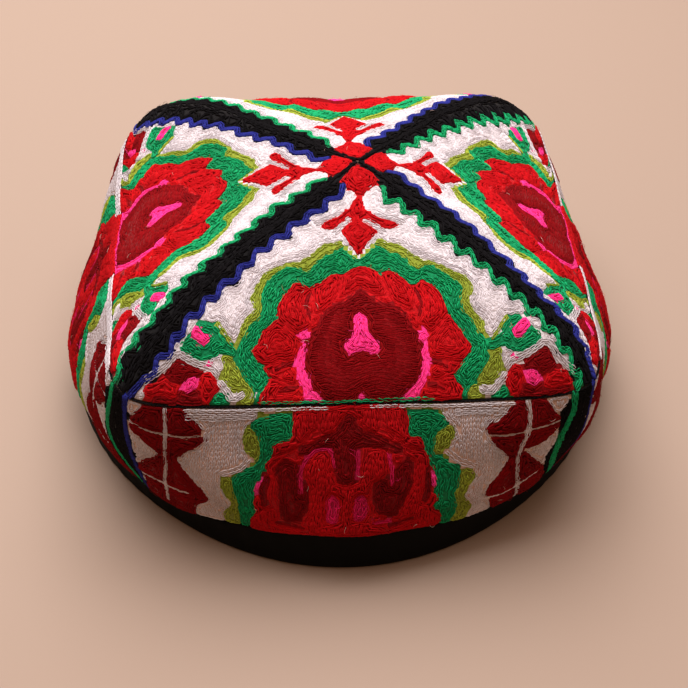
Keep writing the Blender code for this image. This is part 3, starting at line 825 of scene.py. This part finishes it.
# Rows that lie over the seams and the fold: quarter, thread, kind, how far they stand up in mm, and chart
# points, whose down is counted from the fold
FOLD_ROWS = [
    (3, "green", "line", 0.25, [(-30, -0.95), (-8, -0.8), (22, -0.95)]),
    (3, "white", "line", 0.25, [(-52, 1.2), (-30, 1.0), (-9.5, 1.1)]),
    (3, "white", "chain", 0.2, [(-51, 3.2), (-40, 3.0), (-31, 2.8)]),
    (3, "white", "line", 0.25, [(2.5, 1.1), (20, 1.1), (46, 1.3)]),
    (3, "white", "chain", 0.2, [(28, 3.0), (36, 3.2), (43, 3.4)]),
]
for quarter, white_kind in enumerate(("plait", "braid", "braid")):
    FOLD_ROWS += [
        (quarter, "white", white_kind, 0.55, [(-60, 0), (-36, 0), (-16, 0.2)]),
        (quarter, "white", white_kind, 0.55, [(16, 0), (34, 0.2), (60, 0)]),
        (quarter, "red", "braid", 0.5, [(-16, 0), (0, 0), (16, 0)]),
    ]
for quarter in (0, 2):
    FOLD_ROWS.append((quarter, "pink", "pair", 0.2, [(-12, -1.4), (0, -1.2), (12, -1.4)]))
SEAM_ROW = beside_seam(np.linspace(0.9, SEAM_LENGTH[-1], 60), np.zeros(60))
SEAM_ROW_RAISED = 0.25
# Each kind of line: its stitch in mm, the places of its rows beside the path, how wide its loops stand open,
# and how far it stands up in mm
LINES = {
    "thin": (2.0, (0.0,), 0.8, -0.05),
    "line": (2.2, (0.0,), 1.15, 0.08),
    "pair": (1.8, (-0.52, 0.52), 1.0, 0.2),
    "chain": (2.3, (-0.6, 0.6), 1.35, 0.2),
    "plait": (2.2, (-0.36, 0.36), 1.1, 0.1),
    "rope": (1.7, (-0.42, 0.42), 1.0, 0.2),
    "broad": (1.9, (-0.84, 0.0, 0.84), 1.1, 0.2),
    "cross": (2.0, (-0.18, 0.18), 1.0, 0.25),
    "braid": (2.2, (-0.8, 0.1, 0.9), 1.5, 0.5),
}
EDGE_ROWS = 1.5              # how far rows follow a figure's edge where its middle is laid another way


def on_path(points, kind, raised, quarter, sides="right", shift=0.0):
    """Stitches of a drawn line, on one side of the middle line or on both, moved across by a shift.

    A column is a stitch: its chart places, how far its line stands up, quarter (-1 for all) and how open.
    """
    length, offsets, loose, _ = LINES[kind]
    found = []
    for offset in offsets:
        stitch = stitches_on_path(points, length, offset)
        for mirror in {"both": (1, -1), "left": (-1,)}.get(sides, (1,)):
            placed = stitch.copy()
            placed[::2] = placed[::2] * mirror + shift
            found.append(np.vstack([placed, np.full((3, stitch.shape[1]), [[raised], [quarter], [loose]])]))
    return found


def sew(thread, spacing, length, lay=None):
    """All stitches of one thread, in the columns that on_path gives.

    Filled figures take rows that follow their edges, or past the first rows, rows of another lay.
    """
    found = []
    for (name, kind, sides, points, _, shift), depth in zip(figures, depths):
        if name != thread:
            continue
        if kind != "fill":
            found += on_path(points, kind, LINES[kind][3], -1, sides, shift)
            continue
        fills = [stitches_along(depth, spacing, length)]
        if lay is not None:
            middle = np.minimum(depth - EDGE_ROWS, lay[1])
            fills = [stitches_along(depth, spacing, length, keep=-middle),
                     stitches_along(lay[0], spacing, length, keep=middle)]
        for stitch in fills:
            found.append(np.vstack([stitch, np.full((3, stitch.shape[1]), [[0], [-1], [1]])]))
    stitch = np.concatenate(found, axis=1)
    clear = read_chart(CLEAR, (stitch[0] + stitch[2]) / 2, (stitch[1] + stitch[3]) / 2) > 0
    found = [stitch[:, clear]]
    for quarter, name, kind, raised, points in FOLD_ROWS:
        if name == thread:
            line = [(across, FOLD_DOWN + down) for across, down in points]
            found += on_path(line, kind, raised, quarter)
    if thread == "black":
        found += on_path(SEAM_ROW, "cross", SEAM_ROW_RAISED, -1)
    return np.concatenate(found, axis=1)


# The shape of one side of a loop, from where it leaves the last loop to where the next one holds it: its
# share along the stitch, its sideways place, its height and its thickness, all as shares
COTTON_LOOP = np.array([
    (-0.10, 0.05, -0.40, 0.0),
    (0.12, 0.75, 0.20, 0.9),
    (0.60, 1.00, 0.50, 1.0),
    (0.98, 0.45, 0.30, 0.9),
    (1.25, 0.05, -0.50, 0.0),
])
WOOL_LOOP = np.array([
    (-0.45, 0.70, -0.90, 0.0),
    (0.05, 1.00, 0.20, 1.0),
    (0.90, 1.00, 0.40, 1.0),
    (1.45, 0.60, -0.90, 0.0),
])
THREAD_SIDES = 3


def tapered_threads(centre, normal, thick):
    """Closed meshes of threads from their middle lines: a point, some three-sided rings and a point each.

    A ring is set square to its line, and turned by the outward direction there.
    """
    centre, normal = (lines.reshape(-1, *lines.shape[-2:]) for lines in (centre, normal))
    thick = thick.reshape(-1, thick.shape[-1])
    count, rings = len(centre), centre.shape[1] - 2
    chord = np.gradient(centre, axis=1)
    chord = chord / np.maximum(np.linalg.norm(chord, axis=-1, keepdims=True), 1e-6)
    beside = np.cross(normal, chord)
    angle = np.arange(THREAD_SIDES) * 2 * math.pi / THREAD_SIDES + math.pi / 2
    ring = np.cos(angle)[:, None] * beside[..., None, :] + np.sin(angle)[:, None] * normal[..., None, :]
    tube = centre[..., None, :] + thick[..., None, None] * ring
    points = np.concatenate([centre[:, :1], tube[:, 1:-1].reshape(count, -1, 3), centre[:, -1:]], axis=1)
    per = points.shape[1]
    near = 1 + np.arange(THREAD_SIDES)
    beyond = 1 + (np.arange(THREAD_SIDES) + 1) % THREAD_SIDES
    triangles = [(np.zeros_like(near), beyond, near)]
    for step in np.arange(rings - 1) * THREAD_SIDES:
        across = beyond + step + THREAD_SIDES
        triangles.append((near + step, beyond + step, across))
        triangles.append((near + step, across, near + step + THREAD_SIDES))
    far = (rings - 1) * THREAD_SIDES
    triangles.append((near + far, beyond + far, np.full_like(near, per - 1)))
    pattern = np.concatenate([np.stack(corners, axis=-1) for corners in triangles])
    faces = (np.arange(count) * per)[:, None, None] + pattern[None]
    return points.reshape(-1, 3), faces.reshape(-1, 3)


def loop_mesh(stitch, quarter, loop, radius, spread, wander):
    """Threads of all stitches: each loop is two tapered threads, side by side, that meet at its ends.

    A thread's places on the chart come from the stitch's start and end and the table's shares; the chart's
    rise lifts it. The last value is a random tone for each thread, at all its points.
    """
    random = np.random.default_rng(quarter)
    count = stitch.shape[1]
    start = stitch[:2].T[:, None, :] + random.normal(0, wander, (count, 2, 2))
    end = stitch[2:4].T[:, None, :] + random.normal(0, wander, (count, 2, 2))
    along = end - start
    reach = np.linalg.norm(along, axis=-1, keepdims=True)
    side = np.stack([-along[..., 1], along[..., 0]], axis=-1) / np.maximum(reach, 1e-6)
    hand = np.array([-1.0, 1.0])[None, :, None, None]
    raised, opened = stitch[4][:, None, None], stitch[6][:, None, None, None]
    uneven = random.uniform(0.85, 1.15, (count, 1, 1, 1))
    width = hand * (spread * opened * uneven * loop[:, 1][None, None, :, None])
    share = loop[:, 0][None, None, :, None]
    place = start[:, :, None] + along[:, :, None] * share + width * side[:, :, None]
    thick = radius * random.uniform(0.88, 1.12, (count, 2, 1))
    height = read_chart(rise, place[..., 0], place[..., 1]) + raised + thick * loop[:, 2]
    centre, normal = on_cloth(quarter, place[..., 0], place[..., 1], height)
    points, faces = tapered_threads(centre, normal, thick * loop[:, 3])
    tone = np.repeat(random.normal(0, 1, count * 2), len(points) // (count * 2))
    return points, faces, tone


HAIR_MOTTLE = 0.35           # real fibres are a twentieth of that, too fine to show
DYE_PATCH = 100 / 9          # faint patches of dye
BAND_THREAD_PAINTED_SHADE = -1.5             # painted shade: the band's threads are darker, as the band faces away from the light


def spun_thread(name, thread, roughness, swing, mottle):
    """Material whose dye varies a little from stitch to stitch; its fibres mottle and roughen the surface.

    The colour is multiplied by 1 + swing * tone, by a fine noise of the fibres' size and by a broad one.
    """
    material, shader = new_cloth(name, roughness, 0.0)
    tree = material.node_tree
    colour = srgb(THREADS[thread][0])[:3]
    # The tone carries each thread's random variation of dye and, on the band, a painted shade.
    tone = add_node(tree, "ShaderNodeAttribute", {"attribute_name": "tone"})
    where = add_node(tree, "ShaderNodeTexCoord").outputs["Object"]
    hairs = add_node(tree, "ShaderNodeTexNoise", Vector=where, Scale=1 / (HAIR_MOTTLE * MM), Detail=3.0)
    patches = add_node(tree, "ShaderNodeTexNoise", Vector=where, Scale=1 / (DYE_PATCH * MM), Detail=2.0)
    by_stitch = add_node(tree, "ShaderNodeMath", {"operation": "MULTIPLY_ADD"}, _0=tone.outputs["Fac"],
                         _1=swing, _2=1.0)
    by_hair = add_node(tree, "ShaderNodeMapRange", Value=hairs.outputs["Fac"], From_Min=0.3, From_Max=0.7,
                       To_Min=1 - mottle, To_Max=1 + mottle)
    by_patch = add_node(tree, "ShaderNodeMapRange", Value=patches.outputs["Fac"], From_Min=0.3, From_Max=0.7,
                        To_Min=0.88, To_Max=1.1)
    both = add_node(tree, "ShaderNodeMath", {"operation": "MULTIPLY"}, _0=by_hair.outputs[0],
                    _1=by_patch.outputs[0])
    share = add_node(tree, "ShaderNodeMath", {"operation": "MULTIPLY"}, _0=by_stitch.outputs[0],
                     _1=both.outputs[0])
    dyed = add_node(tree, "ShaderNodeVectorMath", {"operation": "SCALE"}, Vector=colour,
                    Scale=share.outputs[0])
    bump = add_node(tree, "ShaderNodeBump", Strength=0.4, Distance=0.1 * MM, Height=hairs.outputs["Fac"])
    tree.links.new(dyed.outputs[0], shader.inputs["Base Color"])
    tree.links.new(bump.outputs[0], shader.inputs["Normal"])
    return material


def add_thread(thread, finish, spacing, length, lay=None, roughness=0.9, swing=0.08, mottle=0.15, **size):
    """The pieces of one thread, on the crown and on the band, over all four quarters."""
    material = spun_thread(finish, thread, roughness, swing, mottle)
    stitch = sew(thread, spacing, length, lay)
    on_crown = stitch[1] < FOLD_DOWN
    # On the band the tone is lowered, a painted shade that darkens its threads.
    for part, chosen, painted_shade in (("crown", on_crown, 0.0), ("band", ~on_crown, BAND_THREAD_PAINTED_SHADE)):
        if not chosen.any():
            continue
        meshes = []
        for quarter in range(4):
            here = chosen & ((stitch[5] < 0) | (stitch[5] == quarter))
            meshes.append(loop_mesh(stitch[:, here], quarter, **size))
        points, faces, tone = zip(*meshes)
        starts = np.cumsum([0] + [len(part_points) for part_points in points[:-1]])
        faces = np.concatenate([part_faces + start for part_faces, start in zip(faces, starts)])
        add_piece(f"{thread}_chain_stitch_{part}", np.concatenate(points), faces, (material,),
                  values={"tone": np.concatenate(tone) + painted_shade})


# White cotton ground rows
# Mercerised cotton in fine close loops fills the ground between the figures: smooth and a little bright,
# with each loop plain to see. On the band its rows run straight down once they are clear of a figure's edge.
add_thread("white", "white_mercerised_cotton", spacing=1.0, length=1.7, radius=0.21, spread=0.30,
           wander=0.09, loop=COTTON_LOOP, roughness=0.6, swing=0.05, mottle=0.08,
           lay=(ACROSS + 80, DEPTH - FOLD_DOWN - 2))

# Olive cotton
# The outermost border of the great rosette, on the crown and on the band, and the stalk of the leaf: soft
# dull cotton, whose loops show as small links.
add_thread("olive", "olive_cotton", spacing=1.0, length=1.8, radius=0.23, spread=0.34, wander=0.14,
           loop=COTTON_LOOP, roughness=0.7, mottle=0.12)

# Green cotton
# The next border of the rosette, the leaves and the zigzag at the right of each gore, in the thickest of the
# cottons. It lies open, and the cloth between its loops is darker, a painted shade.
add_thread("green", "green_cotton", spacing=1.05, length=1.9, radius=0.25, spread=0.34, wander=0.18,
           loop=COTTON_LOOP, roughness=0.7, mottle=0.12)

# Blue wool
# The zigzag at the left of each gore and the line that carries it down the band: dark wool laid as a rope,
# so matt that the eye sees one soft edge with hardly a stitch in it.
add_thread("blue", "blue_wool", spacing=1.0, length=2.2, radius=0.36, spread=0.26, wander=0.06,
           loop=WOOL_LOOP)

# Red wool
# The great rosette's petals, its half on the band and the flower under the apex: thick soft wool, stitched
# petal by petal, with no gloss and loops that run together. On the band its rows run down.
add_thread("red", "red_wool", spacing=0.85, length=2.4, radius=0.40, spread=0.22, wander=0.18,
           loop=WOOL_LOOP, roughness=0.95, swing=0.06, lay=(ACROSS + 80, DEPTH - FOLD_DOWN - 1))

# Dark red wool
# The rosette's heart, the small rosettes and the band's diamonds, in a wool of uneven dye, dull and soft. On
# the crown its rows waver from side to side within a figure's edge.
HEART_WAVER = 0.8
add_thread("dark_red", "dark_red_wool", spacing=0.85, length=2.4, radius=0.38, spread=0.22, wander=0.22,
           loop=WOOL_LOOP, roughness=0.95, swing=0.10, mottle=0.18,
           lay=(DEPTH + HEART_WAVER * np.sin(ACROSS / 3), np.where(ON_CROWN, -OUTSIDE, OUTSIDE)))

# Rose wool
# A few thin rows and two small leaves in the rosette's half on the band: wool like the pink, dyed deeper, so
# that it only just stands out from the red.
add_thread("rose", "rose_wool", spacing=0.85, length=2.0, radius=0.30, spread=0.21, wander=0.20,
           loop=WOOL_LOOP, roughness=0.95)

# Pink wool
# The spade and the crescents in the rosette and the buds in the leaves: two or three rows of bright wool,
# even in colour, that catch the eye first.
add_thread("pink", "pink_wool", spacing=0.85, length=2.0, radius=0.30, spread=0.21, wander=0.15,
           loop=WOOL_LOOP, swing=0.05, mottle=0.10)

# Black wool
# The corner strips and the raised row that closes each seam: matt black wool, where only the light on its
# ridges tells one row from the next.
add_thread("black", "black_wool", spacing=0.9, length=2.4, radius=0.32, spread=0.22, wander=0.20,
           loop=WOOL_LOOP, roughness=0.95, swing=0.15, mottle=0.25)

# Loose fibres
# Wool fibres that stand off the soft stitches, and a little pale lint that they have caught. Each leaves the
# cloth, bows to one side and comes down; together they soften the figures' outlines.
FIBRES = 380                 # on each quarter
FIBRE = 0.055                # radius; real ones are a third of that, too fine to show
FIBRE_TAPER = np.array([0, 1, 1, 0.8, 0])
LINT_SHARE = 0.06
WOOLS = ("red", "dark_red", "pink", "rose", "black")
fibre_wool, fibre_shader = new_cloth("loose_wool_fibre", 0.9, 0.0)
dye_and_painted_light = add_node(fibre_wool.node_tree, "ShaderNodeAttribute", {"attribute_name": "dye_and_painted_light"})
fibre_wool.node_tree.links.new(dye_and_painted_light.outputs["Color"], fibre_shader.inputs["Base Color"])


def loose_fibres(quarter, random):
    """Middle lines of fibres at random places of the woollen figures, outward directions, colours and downs.

    A fibre runs straight on the chart, plus a sine bow to one side, and stands up by a sine of its own.
    """
    j, i = np.nonzero(np.isin(thread_of, WOOLS) & (CLEAR > 0.5))
    chosen = random.integers(0, len(j), FIBRES)
    j, i = j[chosen], i[chosen]
    share = np.linspace(0, 1, 5)
    way = random.uniform(0, 2 * math.pi, FIBRES)[:, None]
    long = random.uniform(1.2, 3.4, FIBRES)[:, None]
    bow = random.uniform(-0.8, 0.8, FIBRES)[:, None] * np.sin(math.pi * share)
    across = across_line[i][:, None] + long * share * np.cos(way) - bow * np.sin(way)
    down = down_line[j][:, None] + long * share * np.sin(way) + bow * np.cos(way)
    stand = random.uniform(0.35, 1.0, FIBRES)[:, None] * np.sin(math.pi * (0.1 + 0.75 * share))
    centre, normal = on_cloth(quarter, across, down, read_chart(rise, across, down) + 0.15 + stand)
    codes = np.array([srgb(THREADS[name][0]) for name in WOOLS])
    dye_and_painted_light = codes[np.argmax(thread_of[j, i][:, None] == np.array(WOOLS), axis=1)]
    lint = random.uniform(size=(FIBRES, 1)) < LINT_SHARE
    # Wool fibres take their wool's colour a tenth lighter, a painted sheen on the fuzz; lint keeps its own
    # colour.
    return centre, normal, np.where(lint, np.array(srgb("d9b7ab")), dye_and_painted_light * 1.1), down_line[j]


random = np.random.default_rng(7)
fibres = [loose_fibres(quarter, random) for quarter in range(4)]
centre, normal, dye_and_painted_light, down = (np.concatenate(values) for values in zip(*fibres))
for part, chosen in (("crown", down < FOLD_DOWN), ("band", down >= FOLD_DOWN)):
    thick = FIBRE * FIBRE_TAPER * np.ones((chosen.sum(), 1))
    points, faces = tapered_threads(centre[chosen], normal[chosen], thick)
    colour = np.repeat(dye_and_painted_light[chosen], len(points) // chosen.sum(), axis=0)
    add_piece(f"loose_fibres_{part}", points, faces, (fibre_wool,),
              values={"dye_and_painted_light": colour})

# Fold cord
# A thin black cotton cord of two twisted strands, sewn into the seam all along the square fold. It gives the
# eye a fine dark line with a faint twist.
CORD_RADIUS = 0.36
CORD_PITCH = 2.4
CORD_LIFT = 0.05
CORD_RINGS = 1400
CORD_SIDES = 4
STRAND_RADIUS = 0.55 * CORD_RADIUS
cord_black, cord_shader = new_cloth("black_twisted_cotton_cord", 0.85, 0.0)
cord_shader.inputs["Base Color"].default_value = srgb("0c0b0d")


def tube_faces(rings, sides):
    """Faces of a closed ring-shaped tube of so many rings and sides."""
    i, j = np.meshgrid(np.arange(rings), np.arange(sides), indexing="ij")
    ahead, beside = (i + 1) % rings, (j + 1) % sides
    corners = (i * sides + j, ahead * sides + j, ahead * sides + beside, i * sides + beside)
    return np.stack(corners, axis=-1).reshape(-1, 4)


def fold_path(count):
    """Even points along the fold all round the cap, the outward direction at each, and the whole length."""
    across = np.linspace(-1, 1, 400, endpoint=False) * FOLD_SIDE
    down = np.full_like(across, FOLD_DOWN)
    sides = [on_cloth(quarter, across, down, np.full_like(across, CORD_LIFT)) for quarter in (3, 0, 1, 2)]
    line, outward = (np.concatenate([side[k] for side in sides]) for k in (0, 1))
    line, outward = (np.concatenate([values, values[:1]]) for values in (line, outward))
    reach = np.append(0, np.cumsum(np.linalg.norm(np.diff(line, axis=0), axis=-1)))
    ticks = np.linspace(0, reach[-1], count, endpoint=False)
    even, turned = (np.stack([np.interp(ticks, reach, values[:, k]) for k in range(3)], axis=-1)
                    for values in (line, outward))
    return even, turned / np.linalg.norm(turned, axis=-1, keepdims=True), reach[-1]


def twisted_cord(count, sides):
    """Two strands that wind round the fold's line, each a tube whose middle turns once in a pitch."""
    path, outward, whole = fold_path(count)
    way = np.roll(path, -1, axis=0) - np.roll(path, 1, axis=0)
    way = way / np.linalg.norm(way, axis=-1, keepdims=True)
    beside = np.cross(way, outward)
    turning = np.arange(count) / count * round(whole / CORD_PITCH) * 2 * math.pi
    around = (np.arange(sides) / sides * 2 * math.pi)[None, :, None]
    ring = np.cos(around) * beside[:, None] + np.sin(around) * outward[:, None]
    strands, faces = [], []
    for strand, phase in enumerate((0, math.pi)):
        angle = (turning + phase)[:, None]
        middle = path + CORD_RADIUS / 2 * (np.cos(angle) * beside + np.sin(angle) * outward)
        strands.append((middle[:, None] + STRAND_RADIUS * ring).reshape(-1, 3))
        faces.append(tube_faces(count, sides) + strand * count * sides)
    return np.concatenate(strands), np.concatenate(faces)


cord_points, cord_faces = twisted_cord(CORD_RINGS, CORD_SIDES)
add_piece("fold_cord_twisted", cord_points, cord_faces, (cord_black,), ("fold_cord",))

# Rim binding
# A strip of plain black cloth folded round the lower edge and sewn down, outside and in; it is the foot that
# the cap stands on. Its short pile takes nearly all the light. The cloth is soft, so its top edge wavers and
# its face puckers a little along the sewing.
BINDING_CLOTH = 1.0
BINDING_INSIDE = 10.0
BINDING_DEPTH = CLOTH + BINDING_CLOTH + 0.3
AROUND = 400
PUCKER = 0.12
WAVERS = ((0.35, 11, 1), (0.25, 23, 2), (0.2, 41, 0))    # size in mm, waves round the rim, phase
binding_black, binding_shader = new_cloth("black_short_pile_cloth", 1.0, 0.0)
binding_shader.inputs["Base Color"].default_value = srgb("040403")

theta = np.arange(AROUND) / AROUND * 2 * math.pi
top = cap_surface(theta, np.full(AROUND, 2.0))
foot = cap_surface(theta, np.full(AROUND, 3.0))
way = np.roll(foot, -1, axis=0) - np.roll(foot, 1, axis=0)
inward = np.stack([-way[:, 1], way[:, 0], np.zeros(AROUND)], axis=-1)
inward = inward / np.linalg.norm(inward, axis=-1, keepdims=True)
waver = sum(size * np.sin(waves * theta + phase) for size, waves, phase in WAVERS)
full = top[:, 2] + 0.4 + waver
# The strip's section, from its top edge down the outside, up the inside and back: depth behind the outer
# face, and height as a share of the outer height and mm above that
SECTION = [
    (0.45, 1.0, 0.0), (0.0, 1.0, -0.35), (-0.15, 1.0, -1.2),
    (0.0, 0.8, 0.0), (0.0, 0.6, 0.0), (0.0, 0.4, 0.0), (0.0, 0.2, 0.0),
    (0.1, 0.0, 1.6), (0.45, 0.0, 0.5), (1.0, 0.0, 0.0),
    (BINDING_DEPTH - 1.0, 0.0, 0.0), (BINDING_DEPTH - 0.4, 0.0, 0.5), (BINDING_DEPTH, 0.0, 1.6),
    (BINDING_DEPTH, 0.0, BINDING_INSIDE - 0.4), (BINDING_DEPTH - 0.3, 0.0, BINDING_INSIDE),
    (BINDING_DEPTH - 0.9, 0.0, BINDING_INSIDE), (BINDING_DEPTH - BINDING_CLOTH, 0.0, 2.0),
    (BINDING_CLOTH, 0.0, 2.0), (BINDING_CLOTH, 1.0, -0.6), (0.8, 1.0, 0.0),
]
rings = []
for depth, share, above in SECTION:
    height = np.maximum(full * share + above, 0)
    slant = (height / full)[:, None]
    pucker = PUCKER * np.sin(67 * theta + 3 * share) * (depth < 0.5) * (height > 1)
    ring = foot * (1 - slant) + top * slant + (depth + pucker)[:, None] * inward
    ring[:, 2] = height
    rings.append(ring)
points = np.stack(rings, axis=1).reshape(-1, 3)
add_piece("rim_binding_cloth", points, tube_faces(AROUND, len(SECTION)), (binding_black,),
          ("rim_binding",))

# Floor, light and camera
# A pale plain floor, a large soft light from behind on the left, a larger weak one over the back, an even
# fill, and the photo's view.
floor_paper, floor_shader = new_cloth("pale_matt_paper", 0.9, 0.0)
floor_shader.inputs["Base Color"].default_value = srgb("aa9687")
bpy.ops.mesh.primitive_plane_add(size=6.0)
floor = bpy.context.object
floor.name = "floor"
floor.data.materials.append(floor_paper)

VIEW_HEIGHT = 43.731         # degrees above the floor
VIEW_TURN = 3.178            # degrees from straight in front
VIEW_DISTANCE = 518.442
VIEW_AIM = (1.857, 11.283)   # to the right of the cap's middle, and up
PICTURE = 688                # pixels across the photo
FOCAL_PIXELS = 1442.0
SENSOR = 36.0
camera_data = bpy.data.cameras.new("camera")
camera_data.sensor_width = SENSOR
camera_data.lens = FOCAL_PIXELS / PICTURE * SENSOR
camera = bpy.data.objects.new("camera", camera_data)
bpy.context.scene.collection.objects.link(camera)
turn, lift = math.radians(-VIEW_TURN), math.radians(VIEW_HEIGHT)
aim = np.array([VIEW_AIM[0] * math.cos(turn), VIEW_AIM[0] * math.sin(turn), VIEW_AIM[1]])
back = np.array([math.cos(lift) * math.sin(turn), -math.cos(lift) * math.cos(turn), math.sin(lift)])
camera.location = (aim + VIEW_DISTANCE * back) * MM
camera.rotation_euler = (math.pi / 2 - lift, 0, turn)
bpy.context.scene.camera = camera


def add_light(name, place, aim, size, power, code):
    """Square area light that faces a point: places and its side in metres, its power in watts."""
    data = bpy.data.lights.new(name, "AREA")
    data.size = size
    data.energy = power
    data.color = srgb(code)[:3]
    light = bpy.data.objects.new(name, data)
    light.location = place
    light.rotation_euler = (Vector(aim) - Vector(place)).to_track_quat("-Z", "Y").to_euler()
    bpy.context.scene.collection.objects.link(light)


add_light("soft_box", (-0.186, 0.317, 0.883), (-0.493, 0.198, 0.0), 0.98, 12.7, "fbfbff")
add_light("ceiling_bounce", (0.0, 0.3, 1.35), (-0.05, 0.0, 0.0), 1.5, 13.2, "fff2ed")
world = bpy.data.worlds.new("room")
bpy.context.scene.world = world
world.use_nodes = True
fill = world.node_tree.nodes["Background"]
fill.inputs["Color"].default_value = srgb("ffcca6")
fill.inputs["Strength"].default_value = 0.34
bpy.context.scene.view_settings.view_transform = "Standard"
